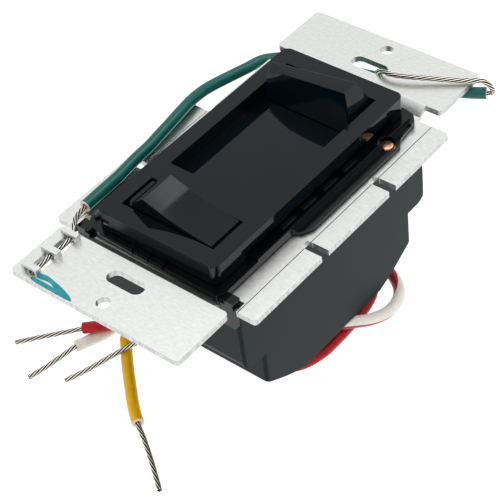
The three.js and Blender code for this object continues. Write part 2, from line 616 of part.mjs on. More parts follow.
// ---- assembly ----
add('yoke', yoke(), aluminium);
add('back_enclosure', backEnclosure(), casing);
add('chassis', chassis(), satin);
add('bezel', bezel(), gloss);
add('slide_knob', slideKnob(), gloss);
add('slide_carrier', slideCarrier(), satin);
add('wiper', wiper(), brass);
add('potentiometer_housing', potHousing(), steel);
add('resistive_track', potTrack(), resin);
add('rocker', rocker(), gloss);
add('rocker_axle', rockerAxle(), steel);
add('contact_plunger', plunger(), satin);
add('plunger_spring', plungerSpring(), steel);
add('switch_base', switchBase(), resin);
add('contact_seesaw', seesaw(), copper);
add('pivot_terminal', pivotTerminal(), brass);
add('fixed_contact_left', fixedContact(-1), brass);
add('fixed_contact_right', fixedContact(1), brass);
add('circuit_board', circuitBoard(), board);
add('triac', triac(), resin);
add('thermal_pad', thermalPad(), pad);
add('triac_rivet', rivet(TRIAC_RIVET.x, TRIAC_RIVET.y, TRIAC_RIVET.r, 2.0, -7), copper);
add('cover_rivet_right', rivet(...RIVETS[0], 1.1, 1.7, -11), copper);
add('cover_rivet_left', rivet(...RIVETS[1], 1.1, 1.7, -11), copper);
add('choke_core', ring(CHOKE.half, 10), ferrite);
add('choke_winding', chokeWinding(), copper);
add('film_capacitor_left', filmCapacitor(-14.6, 14), film);
add('film_capacitor_right', filmCapacitor(-6.8, 14), film);
add('resistor_gate', resistor(11, -6), ceramic);
add('resistor_timing', resistor(11, -10), ceramic);
add('diac', resistor(2.5, -6), red);
leads();

export default part;
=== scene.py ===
# %% [markdown]
# # A slide dimmer on its leads
# A wall dimmer stands on a white table, with its own leads folded under it. The imported solids already hold
# every part in its place, so this file gives them their looks: rounded edges, finishes, twisted strands and
# We load the solids first.

# %% The solids
import json
import math
import bmesh
import bpy
import numpy as np
from mathutils import Matrix, Vector

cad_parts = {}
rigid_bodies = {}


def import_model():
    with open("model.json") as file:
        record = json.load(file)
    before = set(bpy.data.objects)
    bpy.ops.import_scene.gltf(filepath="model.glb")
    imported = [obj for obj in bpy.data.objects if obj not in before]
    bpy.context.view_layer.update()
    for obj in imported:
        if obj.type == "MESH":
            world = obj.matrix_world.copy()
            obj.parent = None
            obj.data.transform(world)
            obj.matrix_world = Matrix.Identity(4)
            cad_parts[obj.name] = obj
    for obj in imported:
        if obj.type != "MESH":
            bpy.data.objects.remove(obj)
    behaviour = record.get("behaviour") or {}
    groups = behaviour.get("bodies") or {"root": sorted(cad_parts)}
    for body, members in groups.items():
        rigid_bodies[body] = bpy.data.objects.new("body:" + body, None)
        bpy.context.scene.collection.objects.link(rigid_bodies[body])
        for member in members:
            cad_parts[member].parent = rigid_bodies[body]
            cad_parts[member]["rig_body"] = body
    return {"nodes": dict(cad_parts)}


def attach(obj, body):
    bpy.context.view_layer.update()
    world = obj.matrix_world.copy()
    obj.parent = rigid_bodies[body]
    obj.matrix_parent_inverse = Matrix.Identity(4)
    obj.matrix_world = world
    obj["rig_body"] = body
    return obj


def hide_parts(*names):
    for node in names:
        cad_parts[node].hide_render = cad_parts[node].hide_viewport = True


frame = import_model()
nodes = frame["nodes"]
scene = bpy.context.scene
MM = 0.001
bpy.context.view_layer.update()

# %% [markdown]
# The camera stands in front of the lower right corner, 44 degrees up, with a long lens, and is tipped a
# little about its own line of sight. A constraint that points it at a target could not hold that tip, so we
# build its three axes from the angles: back points from the aim to the camera, right is level before the tip
# is added, and up follows from the other two.

# %% Camera
AZIMUTH, ELEVATION, TIP = (math.radians(angle) for angle in (44.465, 43.745, -7.741))
CAMERA_PLACE = Vector((183.5, -191.91, 229.97)) * MM
FOCAL_LENGTH, SENSOR_WIDTH = 117.64, 36
back = Vector((math.sin(AZIMUTH) * math.cos(ELEVATION), -math.cos(AZIMUTH) * math.cos(ELEVATION),
    math.sin(ELEVATION)))
level = Vector((math.cos(AZIMUTH), math.sin(AZIMUTH), 0))
right = level * math.cos(TIP) + back.cross(level) * math.sin(TIP)
up = back.cross(right)
lens = bpy.data.cameras.new("camera")
lens.lens, lens.sensor_width, lens.clip_start = FOCAL_LENGTH, SENSOR_WIDTH, 0.01
camera = bpy.data.objects.new("camera", lens)
turn = Matrix((right, up, back)).transposed().to_4x4()
camera.matrix_world = Matrix.Translation(CAMERA_PLACE) @ turn
scene.collection.objects.link(camera)
scene.camera = camera
print("camera", round((CAMERA_PLACE.length) * 1000), "mm from the yoke's centre")

# %% [markdown]
# ## Wires
# A wire is a circle carried along a smooth line. A Bezier curve would need handles at every bend, so the line
# passes through the given points by the centripetal Catmull-Rom rule, which makes no loops between points
# that lie close together. Every step of it is worked out as a whole array.

# %% A smooth line through points
def smooth_line(points, step=0.25):
    """The centripetal Catmull-Rom line through points, resampled every step. Between points 1 and 2 the slope
    at 1 is (p1-p0)/d0 - (p2-p0)/(d0+d1) + (p2-p1)/d1, where d is the square root of each gap, and the stretch
    is the cubic with those slopes. The end points are mirrored outwards once."""
    p = np.array(points, float)
    p = np.vstack([2 * p[0] - p[1], p, 2 * p[-1] - p[-2]])
    gap = np.sqrt(np.linalg.norm(np.diff(p, axis=0), axis=1))[:, None]
    p0, p1, p2, p3 = p[:-3], p[1:-2], p[2:-1], p[3:]
    d0, d1, d2 = gap[:-2], gap[1:-1], gap[2:]
    start = ((p1 - p0) / d0 - (p2 - p0) / (d0 + d1) + (p2 - p1) / d1) * d1
    end = ((p2 - p1) / d1 - (p3 - p1) / (d1 + d2) + (p3 - p2) / d2) * d1
    t = np.linspace(0, 1, 24, endpoint=False)[:, None, None]
    cubic = (p1 + start * t + (3 * (p2 - p1) - 2 * start - end) * t ** 2
        + (2 * (p1 - p2) + start + end) * t ** 3)
    fine = np.vstack([cubic.transpose(1, 0, 2).reshape(-1, 3), p2[-1:]])
    run = np.r_[0, np.cumsum(np.linalg.norm(np.diff(fine, axis=0), axis=1))]
    stations = np.linspace(0, run[-1], max(8, int(run[-1] / step)))
    return np.stack([np.interp(stations, run, fine[:, k]) for k in range(3)], axis=1)


def unit(v):
    """Each vector over its own length."""
    return v / np.linalg.norm(v, axis=-1, keepdims=True)


def side_and_up(line):
    """Two directions square to the line at each point. Side is level and square to the heading, and up is
    side x heading. Where the line is vertical it has no heading, so the next one is used. Side starts on the
    right. Where the heading turns right round, as over an edge, side keeps its direction, so from there on it
    is on the left and up points down."""
    along = unit(np.gradient(line, axis=0))
    count = len(line)
    has_heading = np.linalg.norm(along[:, :2], axis=1) > 0.02
    pick = np.where(has_heading, np.arange(count), count - 1)
    pick = np.minimum.accumulate(pick[::-1])[::-1]
    side = unit(np.c_[along[pick, 1], -along[pick, 0], np.zeros(count)])
    keep = np.sign(np.sum(side[1:] * side[:-1], axis=1))
    side = side * np.cumprod(np.r_[1, keep])[:, None]
    side = unit(side - along * np.sum(side * along, axis=1)[:, None])
    return side, np.cross(side, along)


print("a quarter turn of radius 10 is", len(smooth_line([[10, 0, 0], [7.07, 7.07, 0], [0, 10, 0]])), "points")

# %% [markdown]
# A ring of spokes stands round each point of the line, and rings become a skin: quads between neighbouring
# rings and a small fan over each end, so that every tube is closed. All points are in millimetres until they
# enter the mesh.

# %% Rings to a mesh
def spokes_about(side, up_, around):
    """Unit spokes at each point of a line: cos a side + sin a up, with a once round."""
    a = np.linspace(0, 2 * np.pi, around, endpoint=False)[None, :, None]
    return np.cos(a) * side[:, None] + np.sin(a) * up_[:, None]


def skin(rings, first=0):
    """Points and faces of one closed tube. Point numbers start at first."""
    rows, around, _ = rings.shape
    here = first + np.arange(rows * around).reshape(rows, around)
    beside = np.roll(here, -1, axis=1)
    quads = np.stack([here[:-1], here[1:], beside[1:], beside[:-1]], axis=-1).reshape(-1, 4)
    tips = first + rows * around
    fan = [np.c_[np.full(around, tips), here[0], beside[0]],
        np.c_[np.full(around, tips + 1), beside[-1], here[-1]]]
    points = np.vstack([rings.reshape(-1, 3), rings[0].mean(0), rings[-1].mean(0)])
    return points, quads.tolist() + fan[0].tolist() + fan[1].tolist()


def build(name, tubes, materials):
    """One object, in metres, from several tubes, each a pair of rings and material index."""
    points, faces, index = [], [], []
    first = 0
    for rings, which in tubes:
        p, f = skin(rings, first)
        points.append(p)
        faces += f
        index += [which] * len(f)
        first += len(p)
    mesh = bpy.data.meshes.new(name)
    mesh.from_pydata((np.vstack(points) * MM).tolist(), [], faces)
    mesh.polygons.foreach_set("material_index", index)
    mesh.polygons.foreach_set("use_smooth", np.ones(len(faces), bool))
    for material in materials:
        mesh.materials.append(material)
    obj = bpy.data.objects.new(name, mesh)
    scene.collection.objects.link(obj)
    return obj


# %% [markdown]
# ## Finishes
# Nearly every finish here is the same idea with other numbers: a base colour that wanders between two shades,
# a roughness that wanders with it, and a fine bump. The noise reads Object coordinates in metres, so a grain
# of 1000 means features about a millimetre wide. Values that are the same all over sit on the shader itself.

# %% One recipe for a finish
def finish(name, dark, light, rough=(0.3, 0.4), grain=900, bump=0.1, relief=0.02, metal=0.0,
        stretch=(1, 1, 1), detail=6, **shader_values):
    """One noise drives three things: the colour from dark to light, the roughness across the range rough, and
    the height of a bump that is relief millimetres high. Other values go to the shader by name."""
    material = bpy.data.materials.new(name)
    material.use_nodes = True
    tree = material.node_tree
    shader = tree.nodes["Principled BSDF"]
    shader.inputs["Metallic"].default_value = metal
    for socket, value in shader_values.items():
        shader.inputs[socket.replace("_", " ")].default_value = value
    place = tree.nodes.new("ShaderNodeTexCoord")
    mapping = tree.nodes.new("ShaderNodeMapping")
    mapping.inputs["Scale"].default_value = stretch
    noise = tree.nodes.new("ShaderNodeTexNoise")
    noise.inputs["Scale"].default_value = grain
    noise.inputs["Detail"].default_value = detail
    shade = tree.nodes.new("ShaderNodeValToRGB")
    low, high = shade.color_ramp.elements
    low.position, high.position = 0.32, 0.68
    low.color, high.color = (*dark, 1), (*light, 1)
    spread = tree.nodes.new("ShaderNodeMapRange")
    spread.inputs["To Min"].default_value, spread.inputs["To Max"].default_value = rough
    height = tree.nodes.new("ShaderNodeBump")
    height.inputs["Strength"].default_value = bump
    height.inputs["Distance"].default_value = relief * MM
    link = tree.links.new
    link(place.outputs["Object"], mapping.inputs["Vector"])
    link(mapping.outputs["Vector"], noise.inputs["Vector"])
    link(noise.outputs["Fac"], shade.inputs["Fac"])
    link(noise.outputs["Fac"], spread.inputs["Value"])
    link(noise.outputs["Fac"], height.inputs["Height"])
    link(shade.outputs["Color"], shader.inputs["Base Color"])
    link(spread.outputs["Result"], shader.inputs["Roughness"])
    link(height.outputs["Normal"], shader.inputs["Normal"])
    return material


# %% [markdown]
# Lead insulation is extruded vinyl: smooth and a little waxy. The cut end is painted paler: a painted highlight
# on its rim and flat cut. The strands are tinned copper. The green insulation is glossier than the others.

# %% Finishes of the wires
tinned = finish("tinned_copper", (0.62, 0.60, 0.55), (0.86, 0.84, 0.79), (0.16, 0.3), 1500, 0.15, 0.02,
    metal=1.0)
red_vinyl = finish("red_vinyl", (0.36, 0.003, 0.006), (0.46, 0.006, 0.010), (0.28, 0.38), 700, 0.06,
    IOR=1.4, Specular_IOR_Level=0.35)
yellow_vinyl = finish("yellow_vinyl", (0.80, 0.42, 0.002), (0.90, 0.50, 0.006), (0.3, 0.4), 700, 0.06, IOR=1.4,
    Specular_IOR_Level=0.35)
black_vinyl = finish("black_vinyl", (0.008, 0.008, 0.009), (0.014, 0.014, 0.015), (0.3, 0.4), 700, 0.06)
green_vinyl = finish("green_vinyl", (0.000, 0.088, 0.072), (0.001, 0.115, 0.094), (0.16, 0.24), 500, 0.05,
    IOR=1.38, Coat_Weight=0.08, Coat_Roughness=0.1)
# The rim and flat cut of every lead get one pale colour: a painted highlight where light catches them.
painted_cut_highlight = finish("cut_end_painted_highlight", (0.70, 0.52, 0.48), (0.85, 0.72, 0.66), (0.45, 0.6), 2500, 0.3)

# %% [markdown]
# The two-colour lead is white with one broad red stripe. A pattern in space could not follow the lead, and the
# stripe turns where the lead was twisted. So each point of its skin stores how far it faces the stripe's
# middle, 1 on it and -1 opposite, and the finish is red above a threshold.

# %% Two-colour vinyl
def second_colour(material, attribute, begin, full, colour):
    """Lays a colour over the finish where the attribute rises from begin to full."""
    tree = material.node_tree
    stored = tree.nodes.new("ShaderNodeAttribute")
    stored.attribute_name = attribute
    edge = tree.nodes.new("ShaderNodeMapRange")
    edge.inputs["From Min"].default_value, edge.inputs["From Max"].default_value = begin, full
    mix = tree.nodes.new("ShaderNodeMix")
    mix.data_type = "RGBA"
    mix.inputs["B"].default_value = (*colour, 1)
    shader = tree.nodes["Principled BSDF"]
    tree.links.new(shader.inputs["Base Color"].links[0].from_socket, mix.inputs["A"])
    tree.links.new(stored.outputs["Fac"], edge.inputs["Value"])
    tree.links.new(edge.outputs["Result"], mix.inputs["Factor"])
    tree.links.new(mix.outputs["Result"], shader.inputs["Base Color"])
    return material


striped_vinyl = second_colour(
    finish("striped_vinyl", (0.74, 0.70, 0.64), (0.84, 0.80, 0.75), (0.3, 0.4), 700, 0.06),
    "facing_stripe", begin=0.30, full=0.36, colour=(0.36, 0.004, 0.010))
print("two-colour finish:", striped_vinyl.name)

# %% [markdown]
# Between the strands of a bundle lies a dark groove, where little light gets in. The tubes are too thin for
# their shadows to show it, so each strand's skin stores how far it faces out of the bundle, and the finish
# goes from near black in the groove to bright tin on the crest.

# %% Stranded wire
stranded = second_colour(
    finish("stranded_copper", (0.035, 0.030, 0.022), (0.07, 0.06, 0.045), (0.16, 0.3), 1500, 0.15, 0.02,
        metal=1.0),
    "outward", begin=0.72, full=0.88, colour=(0.92, 0.89, 0.80))
print("wire finishes ready")

# %% [markdown]
# ## The four leads
# Each lead leaves the circuit board, passes down through a hole in the back of the enclosure, bends onto the
# table and runs out to its stripped end. These are the same points that the solids follow. LOW is the height
# at which insulation rests on the table, BARE that of the thinner strands, HIGH that of a lead that crosses
# another, and MOUTH that of the holes in the back.

# %% Routes of the leads, in millimetres
LOW, BARE, HIGH, MOUTH = -42.9, -43.7, -39.8, -37.8
routes = {
    "red": [[5, 6, -14], [5, 6, -20], [5, 6, -26], [5, 6, -32], [5, 6, -36.5], [5, 6.9, -39.7],
        [5.1, 9.2, -42], [5.2, 12.6, LOW + 0.1], [7.2, 17.2, LOW], [11.6, 19.2, LOW], [16, 17.3, LOW],
        [17.9, 12.6, LOW], [18.5, 6.4, LOW], [18.7, 0, LOW], [18.4, -5.6, LOW], [16.4, -11, LOW],
        [12, -14.2, LOW], [6.8, -13.2, LOW], [2, -9.4, LOW], [-3.6, -5.8, LOW], [-10.4, -4.8, LOW],
        [-16.2, -7, LOW + 0.2], [-19.9, -11, LOW + 1.7], [-21.3, -16, HIGH + 0.1],
        [-21.6, -21.5, HIGH + 0.3], [-22.9, -25.9, HIGH + 0.3], [-25.8, -28.3, HIGH - 0.1],
        [-28.2, -30.3, HIGH - 0.2], [-30.6, -31.7, HIGH - 0.8]],
    "red_end": [[-31, -32.05, HIGH - 1], [-35, -35.4, LOW + 1.2], [-39.2, -38.8, LOW + 0.2],
        [-43.4, -42.3, BARE]],
    "striped": [[-1, 6, -14], [-1, 6, -20], [-1, 6, -26], [-1, 6, -32], [-1, 6, -36.5], [-1, 6.9, -39.7],
        [-0.9, 9.2, -42], [-0.6, 12.6, LOW + 0.1], [1.6, 18.4, LOW], [6.2, 22.9, LOW], [12, 24.6, LOW],
        [18, 23.2, LOW], [22.3, 19.4, LOW], [23.7, 14, LOW + 0.3], [22.8, 8.6, HIGH - 1.6],
        [20, 3.4, HIGH], [15.2, -0.2, HIGH - 0.6], [9, -1.6, LOW + 0.9], [2, -1.6, LOW + 0.1],
        [-6, -1.2, LOW], [-14, -1.8, LOW], [-21, -5.2, LOW], [-25.4, -11.6, LOW], [-26.8, -19.6, LOW],
        [-27, -28, LOW], [-28.4, -32, LOW], [-29.9, -35.6, LOW]],
    "striped_end": [[-30.1, -36.2, LOW], [-31, -40.2, BARE + 0.4], [-32, -44.3, BARE + 0.05],
        [-33, -48.3, BARE]],
    "black": [[-3.5, -12.8, -14], [-3.5, -12.8, -20], [-3.5, -12.8, -26], [-3.5, -12.8, -32],
        [-3.5, -12.8, -36.5], [-4, -13.4, -38.7], [-5.5, -15.1, -40.9], [-8.1, -18, -41.6],
        [-11.2, -21.2, -41.1], [-14, -24.2, -40.3], [-15.7, -26.4, -39.9]],
    "black_end": [[-15.95, -26.8, -39.95], [-18.2, -30.8, -40.75], [-20.2, -34.6, -41.7],
        [-22.7, -39.4, -42.9], [-25.3, -44.3, BARE]],
    "yellow": [[-9.5, -12.2, -14], [-9.5, -12.2, -20], [-9.5, -12.2, -26], [-9.5, -12.2, -32],
        [-9.5, -12.2, -36.5], [-10.3, -12.3, -39.7], [-12.6, -12.9, -42], [-15.9, -13.7, LOW + 0.1],
        [-19.9, -15.9, LOW], [-22.9, -19.4, LOW], [-23.5, -23.4, LOW], [-22, -26.9, LOW],
        [-19.3, -29.8, LOW], [-16.5, -32.6, LOW], [-13.7, -35.2, LOW], [-10.8, -37.8, LOW],
        [-8, -40.3, LOW], [-5.2, -42.6, LOW], [-2.4, -44.6, LOW]],
    "yellow_end": [[-1.95, -45, LOW], [1.8, -47.2, BARE + 0.4], [7.4, -51, BARE + 0.05],
        [13.3, -55.3, BARE]],
}
print("leads:", [name for name in routes if not name.endswith("_end")])

# %% [markdown]
# Bare ends are seven strands, one straight and six wound round it with a pitch of 12 mm. One cylinder with a
# spiral bump would keep a smooth outline, so each strand is a tube of its own.

# %% Strands
VINYL_R, STRAND_R, PITCH = 1.4, 0.6, 12.0
VINYL_AROUND, STRAND_AROUND = 24, 8
THICKER, WOUND_AT, SNIPPED = 1.04, 0.64, 0.6
SKIN, TIN, CUT = 0, 1, 2


def run_along(line):
    """The distance along the line up to each of its points."""
    return np.r_[0, np.cumsum(np.linalg.norm(np.diff(line, axis=0), axis=1))]


def strand_tubes(line, index):
    """Strand k is a thin tube whose centre turns about the line: offset about two thirds of the bundle's
    radius, at angle 60 k degrees + 360 run / pitch. It is a little thicker than a third of the bundle, so that
    neighbours touch, and its end rings shrink, as snipped wire does."""
    side, up_ = side_and_up(line)
    run = run_along(line)
    thin = STRAND_R / 3 * THICKER
    size = np.full(len(line), thin)
    size[[0, -1]] = thin * SNIPPED
    spokes = spokes_about(side, up_, STRAND_AROUND)
    tubes = []
    for k in range(7):
        turn = (np.pi / 3 * k + 2 * np.pi * run / PITCH)[:, None]
        offset = 0 if k == 6 else STRAND_R * WOUND_AT
        centre = line + offset * (np.cos(turn) * side + np.sin(turn) * up_)
        tubes.append((centre[:, None] + size[:, None, None] * spokes, index))
    return tubes


print("strands of", round(2 * STRAND_R / 3 * THICKER, 2), "mm in a bundle of", 2 * STRAND_R, "mm")

# %% [markdown]
# The insulation stops in a flat cut with a rounded rim and a small hollow, out of which the strands come. A
# plain capped tube would look solid there, so the rings turn in over the rim and go back down the bore.

# %% Insulation
def vinyl_tube(line, index, open_start=False):
    """Rings of full radius along the line. At the end they round in over the rim, cross the flat cut, and go
    back 0.7 mm down the bore. With open_start the other end is cut in the same way."""
    count = len(line)
    ends = np.array([1.0, 1.0, 0.93, 0.5, 0.46, 0.46]) * VINYL_R
    place = np.array([count - 2, count - 1.25, count - 1, count - 1, count - 1.1, count - 4])
    first = np.array([3, 0.1, 0, 0, 0.25]) if open_start else np.array([0.0])
    first_r = np.array([0.46, 0.46, 0.5, 0.93, 1.0]) * VINYL_R if open_start else np.array([VINYL_R])
    middle = np.arange(2, count - 2)
    where = np.r_[first, middle, place]
    radii = np.r_[first_r, np.full(len(middle), VINYL_R), ends]
    side, up_ = side_and_up(line)
    steps = np.arange(count)
    at = lambda field: np.stack([np.interp(where, steps, field[:, k]) for k in range(3)], axis=1)
    spokes = spokes_about(unit(at(side)), unit(at(up_)), VINYL_AROUND)
    return at(line)[:, None] + radii[:, None, None] * spokes, index


def paint_rows(obj, first_row, last_row, around, index):
    """Quads come row by row, so a band of rows is one slice of the faces."""
    which = np.zeros(len(obj.data.polygons), int)
    obj.data.polygons.foreach_get("material_index", which)
    which[first_row * around:last_row * around] = index
    obj.data.polygons.foreach_set("material_index", which)


print("insulation of", 2 * VINYL_R, "mm")

# %% [markdown]
# A lead is its insulation and its strands in one object. The strands start a little way down the bore, and each
# point of their skin is marked for the finish with the dark grooves.

# %% One lead
def mark_outward(obj, rings_before, tubes):
    """Stores on each strand's skin how far it faces out of the bundle: the cosine of the angle between the
    strand's own spoke and the line from the bundle's middle, so 1 on the crest and less in the grooves."""
    middle = np.mean([rings.mean(axis=1) for rings, _ in tubes], axis=0)
    values = [np.ones(rings_before)]
    for rings, _ in tubes:
        centre = rings.mean(axis=1)
        out = centre - middle
        out = out / np.maximum(np.linalg.norm(out, axis=1, keepdims=True), 1e-6)
        values += [np.sum(unit(rings - centre[:, None]) * out[:, None], axis=2).ravel(), [0.5, 0.5]]
    field = obj.data.attributes.new("outward", "FLOAT", "POINT")
    field.data.foreach_set("value", np.concatenate(values))


def lead(name, body_route, end_route, vinyl):
    """The object, the rings of its insulation, and the whole path in metres."""
    line = smooth_line(body_route)
    tail = smooth_line(end_route)
    joined = np.vstack([line[-3:-1], tail])
    rings, _ = vinyl_tube(line, SKIN)
    strands = strand_tubes(joined, TIN)
    obj = build(name, [(rings, SKIN)] + strands, [vinyl, stranded, painted_cut_highlight])
    rows, around, _ = rings.shape
    mark_outward(obj, rows * around + 2, strands)
    # The rim and cut rows take the pale finish: a painted highlight.
    paint_rows(obj, rows - 5, rows - 2, around, CUT)
    path = np.vstack([line, tail[1:]]) * MM
    return obj, rings, path


# %% [markdown]
# The four leads differ in route and colour only, so one loop makes them. Each rides on the housing and takes
# the place of its two plain solids.

def path_length(path):
    """The sum of the gaps between neighbouring points."""
    return float(np.linalg.norm(np.diff(path, axis=0), axis=1).sum())


lead_finish = {"red": red_vinyl, "striped": striped_vinyl, "black": black_vinyl, "yellow": yellow_vinyl}
lead_rings = {}
for colour, vinyl in lead_finish.items():
    obj, rings, path = lead(f"wire_{colour}", routes[colour], routes[colour + "_end"], vinyl)
    lead_rings[colour] = (obj, rings)
    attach(obj, "housing")
    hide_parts(f"lead_{colour}", f"lead_{colour}_strands")
    print(obj.name, round(path_length(path) * 1000, 1), "mm")

# %% [markdown]
# The stripe's middle starts on top of the striped lead, rolls to the inside of the loop and then underneath
# it, and stays there to the cut end. It is given by pairs of run in millimetres and angle in degrees. On this
# lead side has turned over, so 0 points out of the loop, 90 down and -90 up.

# %% Turn the stripe
STRIPE_RUN = [54, 61, 70, 82, 110, 130]
STRIPE_ANGLE = [-95, -165, -275, -300, -300, -240]


def mark_stripe(obj, rings):
    """At each point round a ring the value is cos(its angle - the stripe's angle), which is read off between
    the pairs of run and angle above."""
    rows, around, _ = rings.shape
    run = np.linspace(0, 1, rows) * path_length(rings.mean(axis=1))
    middle = np.radians(np.interp(run, STRIPE_RUN, STRIPE_ANGLE))
    a = np.linspace(0, 2 * np.pi, around, endpoint=False)
    values = np.zeros(len(obj.data.vertices))
    values[:rows * around] = np.cos(a[None, :] - middle[:, None]).ravel()
    field = obj.data.attributes.new("facing_stripe", "FLOAT", "POINT")
    field.data.foreach_set("value", values)


mark_stripe(*lead_rings["striped"])
print("stripe marked on", lead_rings["striped"][0].name)

# %% [markdown]
# ## The ground wire
# Its strands are woven through two windows of the lower ear, under raised bridges. The green insulation then
# runs up the left side over the heat-sink wings, under the top ear and out at its right edge, where the bare
# end turns back over the ear and dips into the screw slot. It is made as a lead is, from three routes.

# %% Ground wire
LACE_X = -18.5
laced_points = [[LACE_X, -50.5, 0.25], [LACE_X, -47, -0.3], [LACE_X, -44.1, 0.2], [LACE_X, -41, -0.2],
    [LACE_X, -38.3, 0.25], [-19.2, -36.6, 0.95], [-20.8, -34.4, 1.0], [-22, -31.8, 0.5], [-22.6, -30.1, 0]]
green_points = [[-22.9, -29.5, -0.15], [-23.2, -23.6, -0.2], [-23.4, -18.2, -0.2], [-24.1, -12.1, -0.2],
    [-24.4, -7.1, -0.2], [-25, -3.1, -0.2], [-25.6, 1, -0.25], [-26.4, 6, -0.25], [-27.2, 11.1, -0.5],
    [-27.5, 15.8, -1.05], [-26.9, 22.4, -2.0], [-26, 28.4, -2.8], [-24.9, 33.3, -3.2], [-20.9, 37, -3.3],
    [-16.2, 38.9, -3.35], [-11, 39.8, -3.35], [-5, 40.8, -3.3], [0.4, 42.1, -3.3], [7, 44, -3.3],
    [13, 45.9, -3.3], [18.5, 47.4, -3.3], [22, 48.7, -3.25], [24, 49.7, -3.2], [25.8, 50.6, -3.1]]
free_points = [[26.2, 50.8, -3.05], [26.8, 51.0, -2.8], [27.1, 51.0, -2.1], [26.9, 50.7, -1.1],
    [26.2, 50.3, -0.1], [25.1, 49.7, 0.68], [23.6, 48.75, 0.78], [21.5, 47.3, 0.85], [17.6, 45.05, 1.1],
    [13.6, 42.8, 1.35], [9.9, 41, 1.45], [6.9, 40.1, 1.4], [5.2, 40.2, 1.25], [3.9, 40.45, 0.8],
    [2.9, 40.8, -0.05], [2.2, 41.1, -0.8]]
green_line, free_line = smooth_line(green_points), smooth_line(free_points)
green_rings, _ = vinyl_tube(green_line, SKIN, open_start=True)
free_strands = strand_tubes(np.vstack([green_line[-4:-1], free_line]), TIN)
ground = build("wire_green", [(green_rings, SKIN)] + free_strands, [green_vinyl, stranded, painted_cut_highlight])
rows = len(green_rings)
mark_outward(ground, rows * VINYL_AROUND + 2, free_strands)
# Both cut ends of the green wire take the pale finish: a painted highlight.
paint_rows(ground, 1, 4, VINYL_AROUND, CUT)
paint_rows(ground, rows - 5, rows - 2, VINYL_AROUND, CUT)
laced_line = np.vstack([smooth_line(laced_points), green_line[1:5]])
laced_strands = strand_tubes(laced_line, 0)
laced = build("strands_woven", laced_strands, [stranded])
mark_outward(laced, 0, laced_strands)
print("green", round(path_length(green_line), 1), "free", round(path_length(free_line), 1), "woven",
    round(path_length(laced_line), 1))

# %% [markdown]
# The green wire is a free cord, and its woven strands are held fast by the ear. Both ride on the housing in
# place of their solids.

for obj, solid, slot in ((ground, ("ground_wire", "ground_strands_free"), "green_insulation"),
        (laced, ("ground_strands_laced",), "tinned")):
    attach(obj, "housing")
    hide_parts(*solid)

# %% [markdown]
# ## Moulded and stamped parts
# The solids have razor edges, which no real part has. A narrow bevel lets them catch a line of light. But a
# polished face mirrors its surroundings, and plain smooth shading would bend the mirrored table near every
# bevel. So at every corner the normals of the faces that meet there are averaged, each weighed by the whole
# flat area that it belongs to: a large flat stays exactly flat, and a narrow bevel weighs nearly nothing.

# %% Shading normals that keep flat faces flat
def steady_normals(mesh, limit=40):
    """The normal of face f at corner v is the unit sum of n_g x A_g over the faces g that share v and turn
    less than limit degrees from f. A_g is the area of all faces in g's plane, which are those that share its
    direction to 0.01 and its level to 0.05 mm."""
    corners, faces = len(mesh.loops), len(mesh.polygons)
    vertex, sides = np.empty(corners, np.int32), np.empty(faces, np.int32)
    normal, middle, area = np.empty(faces * 3), np.empty(faces * 3), np.empty(faces)
    mesh.loops.foreach_get("vertex_index", vertex)
    mesh.polygons.foreach_get("loop_total", sides)
    mesh.polygons.foreach_get("normal", normal)
    mesh.polygons.foreach_get("center", middle)
    mesh.polygons.foreach_get("area", area)
    normal, middle = normal.reshape(-1, 3), middle.reshape(-1, 3)
    level = np.sum(normal * middle, axis=1, keepdims=True)
    rounded = np.round(np.c_[normal * 100, level * 20000])
    plane = np.unique(rounded, axis=0, return_inverse=True)[1].ravel()
    pull = normal * np.bincount(plane, area)[plane][:, None]
    order = np.argsort(vertex, kind="stable")
    v, f = vertex[order], np.repeat(np.arange(faces), sides)[order]
    total = pull[f].copy()
    for step in range(1, np.bincount(v).max()):
        near = v[step:] == v[:-step]
        near &= np.sum(normal[f[step:]] * normal[f[:-step]], axis=1) > math.cos(math.radians(limit))
        total[:-step][near] += pull[f[step:]][near]
        total[step:][near] += pull[f[:-step]][near]
    result = np.empty((corners, 3))
    result[order] = unit(total)
    mesh.normals_split_custom_set(result.tolist())


# %% [markdown]
# A copy of each visible solid is welded and its flat faces are merged first, because a bevel needs edges that
# run on. Merged faces with a notch or a hole are cut again where they are hollow, or they would fill wrongly.
# The bevel is applied at once, so that the normals above can be set on the final faces.

# %% Soften the edges of a solid
def softened(node, width, material, angle=28, segments=2, sheared=None):
    """Welded copy, merged flats, and a bevel of width millimetres on edges sharper than angle degrees. Faces
    that stand upright take the sheared finish, if one is given."""
    work = bmesh.new()
    work.from_mesh(nodes[node].data)
    bmesh.ops.remove_doubles(work, verts=work.verts, dist=0.004 * MM)
    bmesh.ops.dissolve_limit(work, angle_limit=math.radians(1), verts=work.verts, edges=work.edges)
    bmesh.ops.connect_verts_concave(work, faces=work.faces)
    mesh = bpy.data.meshes.new(f"{node}_finished")
    work.to_mesh(mesh)
    work.free()
    mesh.materials.clear()
    mesh.materials.append(material)
    mesh.polygons.foreach_set("use_smooth", np.ones(len(mesh.polygons), bool))
    obj = bpy.data.objects.new(mesh.name, mesh)
    scene.collection.objects.link(obj)
    bevel = obj.modifiers.new("edges", "BEVEL")
    bevel.width, bevel.segments = width * MM, segments
    bevel.limit_method, bevel.angle_limit = "ANGLE", math.radians(angle)
    bevel.miter_outer = "MITER_ARC"
    graph = bpy.context.evaluated_depsgraph_get()
    done = bpy.data.meshes.new_from_object(obj.evaluated_get(graph))
    obj.modifiers.clear()
    obj.data = done
    steady_normals(done)
    if sheared:
        done.materials.append(sheared)
        normal = np.empty(len(done.polygons) * 3)
        done.polygons.foreach_get("normal", normal)
        done.polygons.foreach_set("material_index", (np.abs(normal[2::3]) < 0.3).astype(np.int32))
    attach(obj, nodes[node]["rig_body"])
    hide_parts(node)
    print(obj.name, len(done.vertices), "points")
    return obj


